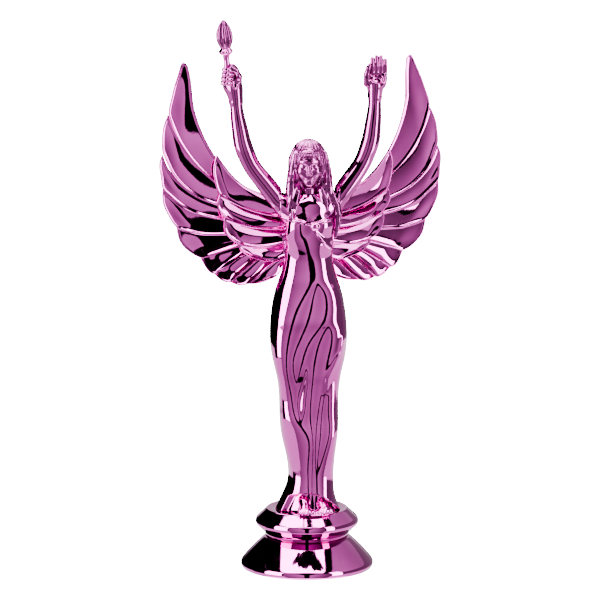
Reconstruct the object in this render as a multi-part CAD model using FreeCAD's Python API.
"""Winged victory figure with a torch, on a round two-tier base that the figure can be turned on.

Frame: millimetres, +Z up, the figure faces -Y, and +X is the figure's own left.
Origin: centre of the base ring, on the surface that the base stands on.
"""
import FreeCAD, Part
import math
import os

V = FreeCAD.Vector
UP = V(0, 0, 1)

# ---- driving dimensions ----------------------------------------------------------------------
BASE_R = 21.1            # widest radius of the lower tier
HEIGHT = 178.0           # tip of the flame above the table
SKIRT_TOP = 10.2         # top face of the lower tier
SKIRT_TOP_R = 13.3
SKIRT_WALL = 1.8
SEAM = 0.2               # open groove between the two tiers
PLINTH_TOP = 19.2        # top face of the upper tier
PLINTH_TOP_R = 12.9
PLINTH_R = 16.4          # widest radius of the upper tier
SPIGOT_R = 9.0           # boss of the upper tier that turns in the lower one
RUNNING_GAP = 0.07       # radial clearance of that boss
LIFT_GAP = 0.05          # axial clearance of the turning joint

NUT_FLATS = 10.0         # M6 nut, across flats
NUT_HEIGHT = 5.0
NUT_BORE_R = 2.5
POCKET_GAP = 0.1         # clearance of the nut in its pocket
PLATE_R = 12.0           # retaining plate
PLATE_THICK = 1.0
PLATE_TOP = 7.6          # also the lower end of the spigot
PLATE_SCREW_CIRCLE_R = 7.2
PLATE_SCREW_R = 1.0
PLATE_SCREW_LENGTH = 6.0
WASHER_INNER_R = 9.3
WASHER_OUTER_R = 11.8

BODY_SCREW_R = 2.0       # M4 x 12 pan head
BODY_SCREW_LENGTH = 12.0
BODY_SCREW_HEAD_R = 3.5
BODY_SCREW_HEAD_HEIGHT = 2.6
PLINTH_FLOOR = 16.6      # the screw's head bears on this level from below

SPLIT_Y = -2.6           # plane between the front and rear body shells
BODY_WALL = 1.7
HOLLOW_BOTTOM = 34.0
HOLLOW_TOP = 114.0
WING_THICK = 1.6
FEATHER_STEP = 1.2       # how far the covert feathers stand in front of the flight feathers

# Dress and torso: height, half width, half depth and centre Y of each level section
TORSO = [
    (PLINTH_TOP, 10.2, 9.5, -1.5),
    (25.5, 7.8, 7.2, -2.3),
    (33.0, 6.4, 5.9, -3.2),
    (45.0, 9.0, 7.3, -3.1),
    (56.0, 8.9, 7.2, -3.0),
    (70.0, 11.6, 9.0, -2.9),
    (77.5, 12.0, 9.3, -2.6),
    (90.7, 10.3, 7.8, -2.3),
    (101.0, 7.4, 5.5, -2.7),
    (111.0, 7.9, 6.6, -4.0),
    (116.0, 8.3, 5.6, -3.2),
    (120.0, 8.4, 4.2, -2.4),
    (122.5, 5.0, 3.0, -2.2),
]

# Centre line of an arm from shoulder to wrist, with its radius; the right arm mirrors it
ARM = [
    (V(6.0, -2.7, 116.2), 2.8),
    (V(8.9, -2.5, 119.5), 3.2),
    (V(12.5, -2.0, 124.0), 3.1),
    (V(18.0, -0.5, 131.5), 2.8),
    (V(19.8, 0.0, 135.5), 2.95),
    (V(21.3, 1.0, 142.0), 2.65),
    (V(22.1, 2.2, 148.3), 2.1),
    (V(22.4, 2.8, 151.8), 2.0),
    (V(22.8, 3.1, 156.4), 2.3),
]

# Torch: its axis leans outwards by a few degrees
TORCH_FOOT = V(-24.6, 2.8, 155.6)
TORCH_TIP = V(-26.4, 3.4, HEIGHT)
HANDLE_R = 1.2
COLLAR_R = 2.2
COLLAR_HEIGHT = 2.2
FLAME_R = 2.75
FLAME_HEIGHT = 9.2
FLAME_FLUTES = 9


# ---- general helpers -------------------------------------------------------------------------
def cylinder(radius, bottom, top, x=0.0, y=0.0):
    return Part.makeCylinder(radius, top - bottom, V(x, y, bottom), UP)


def rod(start, end, radius):
    return Part.makeCylinder(radius, (end - start).Length, start, end - start)


def capsule(start, end, radius):
    """Rod with a round end at each point."""
    return rod(start, end, radius).multiFuse([Part.makeSphere(radius, start), Part.makeSphere(radius, end)])


def box(low, high):
    size = high - low
    return Part.makeBox(size.x, size.y, size.z, low)


def hexagon(across_flats, bottom, top):
    corner_r = across_flats / math.sqrt(3)
    corners = [V(corner_r * math.cos(a), corner_r * math.sin(a), bottom)
               for a in (math.radians(60 * i) for i in range(7))]
    return Part.Face(Part.makePolygon(corners)).extrude(V(0, 0, top - bottom))


def ellipsoid(centre, half_x, half_y, half_z):
    matrix = FreeCAD.Matrix()
    matrix.scale(half_x, half_y, half_z)
    return Part.makeSphere(1.0).transformGeometry(matrix).translated(centre)


def ring(centre, across, along, half_across, half_along, steps=16):
    """Closed smooth oval wire about a centre, in the plane of two unit vectors."""
    points = []
    for i in range(steps):
        angle = 2 * math.pi * i / steps
        points.append(centre + across * (half_across * math.cos(angle)) + along * (half_along * math.sin(angle)))
    curve = Part.BSplineCurve()
    curve.interpolate(Points=points, PeriodicFlag=True)
    return Part.Wire(curve.toShape())


def level_loft(sections):
    """Solid through level ovals given as (height, half width, half depth, centre Y)."""
    wires = [ring(V(0, y, z), V(1, 0, 0), V(0, 1, 0), half_x, half_y) for z, half_x, half_y, y in sections]
    return Part.makeLoft(wires, True, False, False)


def tube_loft(stations):
    """Solid limb through (centre, radius) stations, each section square to the centre line."""
    wires = []
    for i, (centre, radius) in enumerate(stations):
        before = stations[max(i - 1, 0)][0]
        after = stations[min(i + 1, len(stations) - 1)][0]
        heading = (after - before).normalize()
        across = V(0, 1, 0).cross(heading).normalize()
        wires.append(ring(centre, across, heading.cross(across), radius, radius))
    return Part.makeLoft(wires, True, False, False)


def mirror_x(shape):
    return shape.mirror(V(0, 0, 0), V(1, 0, 0))


def section_at(height):
    """Half width, half depth and centre Y of the torso at a height, by linear steps."""
    for low, high in zip(TORSO, TORSO[1:]):
        if low[0] <= height <= high[0]:
            share = (height - low[0]) / (high[0] - low[0])
            return [a + share * (b - a) for a, b in zip(low[1:], high[1:])]
    raise ValueError("height outside the torso")


# ---- base: lower tier ------------------------------------------------------------------------
def make_base_skirt():
    """Hollow flared ring with a rolled foot; its top plate is the bearing of the figure's spigot."""
    foot = Part.Arc(V(BASE_R - 0.5, 0, 0), V(BASE_R, 0, 1.3), V(BASE_R - 0.4, 0, 2.5)).toShape()
    flank = Part.Arc(V(BASE_R - 0.4, 0, 2.5), V(17.2, 0, 6.5), V(SKIRT_TOP_R, 0, SKIRT_TOP)).toShape()
    plate_bottom = SKIRT_TOP - 2.0
    rest = Part.makePolygon([
        V(SKIRT_TOP_R, 0, SKIRT_TOP),
        V(SPIGOT_R + RUNNING_GAP, 0, SKIRT_TOP),
        V(SPIGOT_R + RUNNING_GAP, 0, plate_bottom),
        V(SKIRT_TOP_R - 0.6, 0, plate_bottom),
        V(BASE_R - 0.5 - SKIRT_WALL, 0, 1.9),
        V(BASE_R - 0.5 - SKIRT_WALL, 0, 0),
        V(BASE_R - 0.5, 0, 0),
    ])
    face = Part.Face(Part.Wire([foot, flank] + rest.Edges))
    return face.revolve(V(0, 0, 0), UP, 360)


# ---- base: upper tier and its hardware -------------------------------------------------------
def plate_screw_places():
    for i in range(3):
        angle = math.radians(30 + 120 * i)
        yield PLATE_SCREW_CIRCLE_R * math.cos(angle), PLATE_SCREW_CIRCLE_R * math.sin(angle)


def make_plate_screws():
    """Three M2 pan head screws that hold the retaining plate to the spigot."""
    plate_bottom = PLATE_TOP - PLATE_THICK
    screws = []
    for x, y in plate_screw_places():
        shank = cylinder(PLATE_SCREW_R, plate_bottom, plate_bottom + PLATE_SCREW_LENGTH, x, y)
        head = cylinder(1.9, plate_bottom - 1.3, plate_bottom, x, y)
        head = head.makeFillet(0.5, [edge for edge in head.Edges if edge.BoundBox.ZMax < plate_bottom - 1.0])
        slot = box(V(x - 2.0, y - 0.25, plate_bottom - 1.4), V(x + 2.0, y + 0.25, plate_bottom - 0.8))
        screws.append(shank.fuse(head).cut(slot))
    return Part.makeCompound(screws)


def make_retaining_plate(screws):
    """Steel disc under the spigot: it traps the nut, and keeps the lower tier on."""
    plate = cylinder(PLATE_R, PLATE_TOP - PLATE_THICK, PLATE_TOP)
    plate = plate.cut(cylinder(3.3, PLATE_TOP - PLATE_THICK, PLATE_TOP))
    return plate.cut(screws)


def make_captive_nut():
    nut = hexagon(NUT_FLATS, PLATE_TOP, PLATE_TOP + NUT_HEIGHT)
    corner_r = NUT_FLATS / math.sqrt(3)
    chamfer = Part.makeCone(corner_r + 1.2, NUT_FLATS / 2 - 0.2, 2.4, V(0, 0, PLATE_TOP + NUT_HEIGHT - 1.4), UP)
    lower = cylinder(corner_r + 1.2, PLATE_TOP, PLATE_TOP + NUT_HEIGHT - 1.4)
    nut = nut.common(lower.fuse(chamfer))
    return nut.cut(cylinder(NUT_BORE_R, PLATE_TOP - 1, PLATE_TOP + NUT_HEIGHT + 1))


def make_friction_washer():
    """Fibre washer between the plate and the lower tier's top plate."""
    top = SKIRT_TOP - 2.0 - LIFT_GAP
    washer = cylinder(WASHER_OUTER_R, PLATE_TOP, top)
    return washer.cut(cylinder(WASHER_INNER_R, PLATE_TOP, top))


def make_body_screw():
    """M4 screw that comes up from the nut's pocket into the figure's foot."""
    head = cylinder(BODY_SCREW_HEAD_R, PLINTH_FLOOR - BODY_SCREW_HEAD_HEIGHT, PLINTH_FLOOR)
    low_edges = [edge for edge in head.Edges if edge.BoundBox.ZMax < PLINTH_FLOOR - 1.0]
    head = head.makeFillet(0.8, low_edges)
    shank = cylinder(BODY_SCREW_R, PLINTH_FLOOR, PLINTH_FLOOR + BODY_SCREW_LENGTH)
    depth = PLINTH_FLOOR - BODY_SCREW_HEAD_HEIGHT + 1.2
    cross = box(V(-2.0, -0.4, 0), V(2.0, 0.4, depth)).fuse(box(V(-0.4, -2.0, 0), V(0.4, 2.0, depth)))
    return head.fuse(shank).cut(cross)


def foot_pegs():
    """Two pegs on the upper tier that stop the figure turning about its screw."""
    return [cylinder(1.2, PLINTH_TOP - 0.5, PLINTH_TOP + 2.8, x, 1.5) for x in (-6.0, 6.0)]


def make_plinth(screws, body_screw):
    bottom = SKIRT_TOP + SEAM
    under = Part.Arc(V(13.0, 0, bottom), V(14.4, 0, 12.4), V(PLINTH_R - 0.2, 0, 14.0)).toShape()
    rim = Part.Arc(V(PLINTH_R - 0.2, 0, 14.0), V(PLINTH_R, 0, 15.0), V(PLINTH_R - 0.3, 0, 16.1)).toShape()
    rest = Part.makePolygon([
        V(PLINTH_R - 0.3, 0, 16.1),
        V(PLINTH_TOP_R, 0, PLINTH_TOP - 0.2),
        V(PLINTH_TOP_R - 0.2, 0, PLINTH_TOP),
        V(0, 0, PLINTH_TOP),
        V(0, 0, PLATE_TOP),
        V(SPIGOT_R, 0, PLATE_TOP),
        V(SPIGOT_R, 0, SKIRT_TOP + LIFT_GAP),
        V(10.8, 0, SKIRT_TOP + LIFT_GAP),
        V(10.8, 0, 17.2),
        V(12.1, 0, 17.2),
        V(12.1, 0, bottom),
        V(13.0, 0, bottom),
    ])
    plinth = Part.Face(Part.Wire([under, rim] + rest.Edges)).revolve(V(0, 0, 0), UP, 360)
    pocket = hexagon(NUT_FLATS + 2 * POCKET_GAP, PLATE_TOP - 1, PLATE_TOP + NUT_HEIGHT + POCKET_GAP)
    counterbore = cylinder(BODY_SCREW_HEAD_R + 0.5, PLATE_TOP, PLINTH_FLOOR)
    plinth = plinth.cut(pocket).cut(counterbore).cut(body_screw).cut(screws)
    return plinth.multiFuse(foot_pegs())


# ---- figure: torso in two shells -------------------------------------------------------------
def torso_hollow():
    sections = []
    for height in (HOLLOW_BOTTOM, 45.0, 56.0, 70.0, 77.5, 90.7, 101.0, 107.0, HOLLOW_TOP):
        half_x, half_y, y = section_at(height)
        sections.append((height, half_x - BODY_WALL, half_y - BODY_WALL, y))
    return level_loft(sections)


def shell_pegs():
    """Pegs of the rear shell that locate the front shell."""
    places = [(-4.4, 25.0), (4.4, 25.0), (-4.4, 116.2), (4.4, 116.2)]
    return [rod(V(x, SPLIT_Y + 0.4, z), V(x, SPLIT_Y - 2.4, z), 0.8) for x, z in places]


def make_body_shells(torso, inserts):
    """Rear and front halves of the hollow dress and torso; inserts are the pegs and parts that enter them."""
    walls = torso.cut(torso_hollow())
    for insert in inserts:
        walls = walls.cut(insert)
    pegs = shell_pegs()
    reach = 60
    rear = walls.common(box(V(-reach, SPLIT_Y, 0), V(reach, reach, HEIGHT))).multiFuse(pegs)
    front = walls.common(box(V(-reach, -reach, 0), V(reach, SPLIT_Y, HEIGHT)))
    for peg in pegs:
        front = front.cut(peg)
    return rear, front


def make_feet(body_screw):
    """Two bare feet side by side on a thin sole, with their toes at the front of the hem."""
    sole_bottom = PLINTH_TOP
    sole = level_loft([(sole_bottom, 7.4, 6.6, -6.9), (sole_bottom + 0.6, 7.1, 6.3, -6.9)])
    above_sole = box(V(-20, -20, sole_bottom), V(20, 0, sole_bottom + 12))
    solids = [sole]
    for side in (-1, 1):
        middle = 0.6 + side * 3.0
        instep = ellipsoid(V(middle, -8.2, sole_bottom + 0.3), 2.7, 4.9, 4.0).common(above_sole)
        solids.append(instep)
        for i in range(5):
            x = middle + (i - 2) * 1.15
            solids.append(capsule(V(x, -11.2, sole_bottom + 0.9), V(x, -13.0, sole_bottom + 0.7), 0.65))
    return solids[0].multiFuse(solids[1:]).cut(body_screw)


# ---- figure: head and hair -------------------------------------------------------------------
def neck_peg():
    return cylinder(2.0, 118.6, 123.0, 0, -2.3)


def make_head(torso):
    """Skull, chin and neck with a peg into the torso."""
    skull = ellipsoid(V(0, -3.2, 133.2), 4.6, 5.2, 6.3)
    jaw = ellipsoid(V(0, -4.6, 129.0), 3.3, 3.8, 4.2)
    nose = capsule(V(0, -8.0, 132.6), V(0, -8.7, 130.6), 0.6)
    neck = tube_loft([(V(0, -2.2, 120.5), 3.4), (V(0, -2.4, 123.5), 2.6), (V(0, -2.9, 128.0), 2.6)])
    return skull.multiFuse([jaw, nose, neck]).cut(torso).fuse(neck_peg())


def make_hair(neighbours):
    """Long parted hair: a cap with an open face, falling behind the shoulders, and one front lock."""
    fall = level_loft([
        (115.5, 6.6, 2.4, 1.8),
        (119.0, 7.2, 3.8, 1.4),
        (124.0, 7.1, 4.8, 0.0),
        (129.5, 6.6, 5.6, -1.4),
        (134.5, 5.9, 5.9, -2.4),
        (138.2, 4.0, 4.3, -2.6),
        (140.0, 1.6, 1.8, -2.6),
    ])
    face_window = ellipsoid(V(0, -9.0, 129.6), 4.1, 5.4, 6.6)
    lock = tube_loft([
        (V(5.6, -2.6, 126.5), 1.3),
        (V(7.2, -5.4, 122.0), 1.5),
        (V(8.2, -6.9, 117.0), 1.4),
        (V(7.6, -8.2, 112.0), 1.1),
        (V(6.6, -8.8, 108.6), 0.6),
    ])
    hair = fall.cut(face_window).fuse(lock)
    for neighbour in neighbours:
        hair = hair.cut(neighbour)
    return max(hair.Solids, key=lambda solid: solid.Volume)


# ---- figure: arms and hands ------------------------------------------------------------------
def shoulder_spigot():
    return rod(V(5.4, -2.5, 119.0), V(10.5, -2.5, 119.6), 1.4)


def make_limb(torso):
    """Left arm from shoulder to wrist, with its spigot, trimmed to the torso."""
    return tube_loft(ARM).cut(torso).fuse(shoulder_spigot())


def make_left_arm(limb):
    """Open hand: four fingers side by side, and a thumb on the side of the head."""
    palm = ellipsoid(V(22.9, 3.0, 157.0), 3.1, 1.7, 4.0)
    solids = [palm]
    for i, reach in enumerate((163.2, 164.2, 164.1, 162.8)):
        x = 21.4 + 1.35 * i
        solids.append(capsule(V(x, 3.0, 158.0), V(x + 0.15, 2.4, reach), 0.72))
    solids.append(capsule(V(21.0, 2.6, 156.4), V(19.9, 1.6, 160.4), 0.85))
    return limb.multiFuse(solids)


def make_right_arm(limb, handle):
    """Closed hand round the torch."""
    fist = ellipsoid(V(-24.0, 3.4, 158.6), 3.2, 2.6, 4.2)
    solids = [fist]
    for i in range(4):
        level = 157.4 + 1.5 * i
        solids.append(capsule(V(-26.4, 2.6, level), V(-24.2, 1.0, level + 0.2), 0.8))
    solids.append(capsule(V(-22.0, 2.4, 159.0), V(-24.0, 1.0, 163.4), 0.85))
    return mirror_x(limb).multiFuse(solids).cut(handle)


# ---- figure: torch ---------------------------------------------------------------------------
def torch_point(distance):
    """Point on the torch's axis, at a distance from its lower end."""
    return TORCH_FOOT + torch_heading() * distance


def torch_heading():
    return (TORCH_TIP - TORCH_FOOT).normalize()


def along_torch(shape, distance):
    """Place a shape made on the Z axis onto the torch's axis."""
    turn = FreeCAD.Rotation(UP, torch_heading())
    moved = shape.copy()
    moved.Placement = FreeCAD.Placement(torch_point(distance), turn)
    return moved


def torch_length():
    return (TORCH_TIP - TORCH_FOOT).Length


def make_torch_handle():
    length = torch_length() - FLAME_HEIGHT - COLLAR_HEIGHT + 0.8
    stick = Part.makeCylinder(HANDLE_R, length)
    return along_torch(stick.makeFillet(0.4, [stick.Edges[0], stick.Edges[2]]), 0)


def make_torch_collar(handle):
    """Bulged ring at the top of the handle, cupped under the flame."""
    side = Part.Arc(V(HANDLE_R, 0, 0), V(COLLAR_R, 0, COLLAR_HEIGHT * 0.55), V(1.7, 0, COLLAR_HEIGHT)).toShape()
    rest = Part.makePolygon([V(1.7, 0, COLLAR_HEIGHT), V(0, 0, COLLAR_HEIGHT), V(0, 0, 0), V(HANDLE_R, 0, 0)])
    collar = Part.Face(Part.Wire([side] + rest.Edges)).revolve(V(0, 0, 0), UP, 360)
    return along_torch(collar, torch_length() - FLAME_HEIGHT - COLLAR_HEIGHT).cut(handle)


def make_torch_flame():
    """Bud-shaped flame with flutes up its sides."""
    wires = []
    for share, width in ((0.0, 0.56), (0.2, 0.88), (0.45, 1.0), (0.7, 0.82), (0.88, 0.5), (1.0, 0.1)):
        radius = FLAME_R * width
        wires.append(ring(V(0, 0, FLAME_HEIGHT * share), V(1, 0, 0), V(0, 1, 0), radius, radius))
    flame = Part.makeLoft(wires, True, False, False)
    for i in range(FLAME_FLUTES):
        angle = 2 * math.pi * i / FLAME_FLUTES
        foot = V(FLAME_R * 0.78 * math.cos(angle), FLAME_R * 0.78 * math.sin(angle), -0.5)
        bend = V(FLAME_R * 1.12 * math.cos(angle), FLAME_R * 1.12 * math.sin(angle), FLAME_HEIGHT * 0.5)
        flame = flame.cut(rod(foot, bend, 0.32))
    return along_torch(flame, torch_length() - FLAME_HEIGHT)


# ---- figure: wings ---------------------------------------------------------------------------
def wing_depth(x, z):
    """Y of the left wing's front surface: it sweeps back outwards and curls back to its tip."""
    outwards = x - 8.0
    upwards = max(0.0, z - 115.0)
    return 4.5 + 0.12 * outwards + 0.0012 * outwards ** 2 + 0.005 * upwards ** 2


def wing_slab(offset, thickness):
    """Curved sheet that follows the wing's surface, thickened along Y."""
    rows = []
    for i in range(11):
        x = 5.0 * i
        rows.append([V(x, wing_depth(x, 85.0 + 5.0 * j) + offset, 85.0 + 5.0 * j) for j in range(17)])
    surface = Part.BSplineSurface()
    surface.interpolate(rows)
    return surface.toShape().extrude(V(0, thickness, 0))


def flat(x, z):
    return V(x, -20, z)


def outline_prism(edges):
    return Part.Face(Part.Wire(edges)).extrude(V(0, 60, 0))


def spline_edge(points):
    curve = Part.BSplineCurve()
    curve.interpolate([flat(x, z) for x, z in points])
    return curve.toShape()


def scallop(start, tip, end):
    """Round end of one feather."""
    return Part.Arc(flat(*start), flat(*tip), flat(*end)).toShape()


def scallops(points):
    """Row of feather ends; points alternate between notches and tips."""
    return [scallop(*points[i:i + 3]) for i in range(0, len(points) - 2, 2)]


def flight_outline():
    """Nine flight feathers, from the pointed top one down to the short ones beside the waist."""
    leading = [(9.0, 120.0), (18.4, 123.0), (24.3, 128.6), (30.7, 138.2), (34.0, 148.2), (35.4, 160.2)]
    ends = [
        (35.4, 160.2), (41.0, 150.4), (41.7, 144.5), (44.1, 138.3), (43.8, 133.4), (45.4, 128.3),
        (43.9, 121.5), (44.4, 116.6), (39.7, 109.0), (38.4, 104.0), (32.1, 99.9), (31.2, 96.9),
        (28.2, 94.9), (26.3, 92.8), (23.4, 92.2), (20.8, 91.0), (18.4, 91.5), (13.6, 91.5), (7.9, 94.9),
    ]
    root = Part.makePolygon([flat(7.9, 94.9), flat(4.0, 96.5), flat(4.0, 118.0), flat(9.0, 120.0)])
    return [spline_edge(leading)] + scallops(ends) + root.Edges


def covert_outline():
    """Four covert feathers that lap over the roots of the flight feathers."""
    leading = [(9.0, 120.0), (18.4, 123.0), (24.3, 128.6), (27.8, 133.6)]
    ends = [
        (27.8, 133.6), (28.6, 127.0), (26.8, 120.5), (26.8, 116.7), (25.1, 113.1),
        (24.7, 108.4), (21.5, 104.8), (18.4, 101.6), (10.5, 99.0),
    ]
    root = Part.makePolygon([flat(10.5, 99.0), flat(4.0, 99.0), flat(4.0, 118.0), flat(9.0, 120.0)])
    return [spline_edge(leading)] + scallops(ends) + root.Edges


def wing_pegs():
    return [rod(V(3.8, 4.6, z), V(3.8, -1.6, z), 1.5) for z in (103.0, 113.0)]


def make_left_wing(torso):
    """Feathered blade with a pad and two pegs where it meets the back."""
    blade = outline_prism(flight_outline()).common(wing_slab(0, WING_THICK))
    coverts = outline_prism(covert_outline()).common(wing_slab(-FEATHER_STEP, FEATHER_STEP + 0.6))
    pad = box(V(1.0, -0.5, 98.5), V(6.5, 5.2, 117.5))
    return blade.multiFuse([coverts, pad]).cut(torso).multiFuse(wing_pegs())


# ---- assembly --------------------------------------------------------------------------------
def build():
    torso = level_loft(TORSO)
    body_screw = make_body_screw()
    screws = make_plate_screws()
    feet = make_feet(body_screw)
    handle = make_torch_handle()
    limb = make_limb(torso)
    left_arm = make_left_arm(limb)
    right_arm = make_right_arm(limb, handle)
    left_wing = make_left_wing(torso)
    right_wing = mirror_x(left_wing)
    head = make_head(torso)
    hair = make_hair([torso, head, left_arm, right_arm, left_wing, right_wing])
    paired_pegs = [shoulder_spigot()] + wing_pegs()
    inserts = [body_screw, feet, neck_peg()] + foot_pegs() + paired_pegs + [mirror_x(peg) for peg in paired_pegs]
    body_rear, body_front = make_body_shells(torso, inserts)
    return {
        "base_skirt": make_base_skirt(),
        "plinth": make_plinth(screws, body_screw),
        "captive_nut": make_captive_nut(),
        "retaining_plate": make_retaining_plate(screws),
        "plate_screws": screws,
        "friction_washer": make_friction_washer(),
        "body_screw": body_screw,
        "body_rear": body_rear,
        "body_front": body_front,
        "feet": feet,
        "head": head,
        "hair": hair,
        "left_arm": left_arm,
        "right_arm": right_arm,
        "torch_handle": handle,
        "torch_collar": make_torch_collar(handle),
        "torch_flame": make_torch_flame(),
        "left_wing": left_wing,
        "right_wing": right_wing,
    }


os.makedirs("parts", exist_ok=True)
for name, shape in build().items():
    shape.exportStep(f"parts/{name}.step")
    box_now = shape.BoundBox
    print(f"{name:16s} solids {len(shape.Solids)} valid {shape.isValid()} volume {shape.Volume:9.1f}"
          f"  x {box_now.XMin:7.2f} {box_now.XMax:7.2f}  y {box_now.YMin:7.2f} {box_now.YMax:7.2f}"
          f"  z {box_now.ZMin:7.2f} {box_now.ZMax:7.2f}")
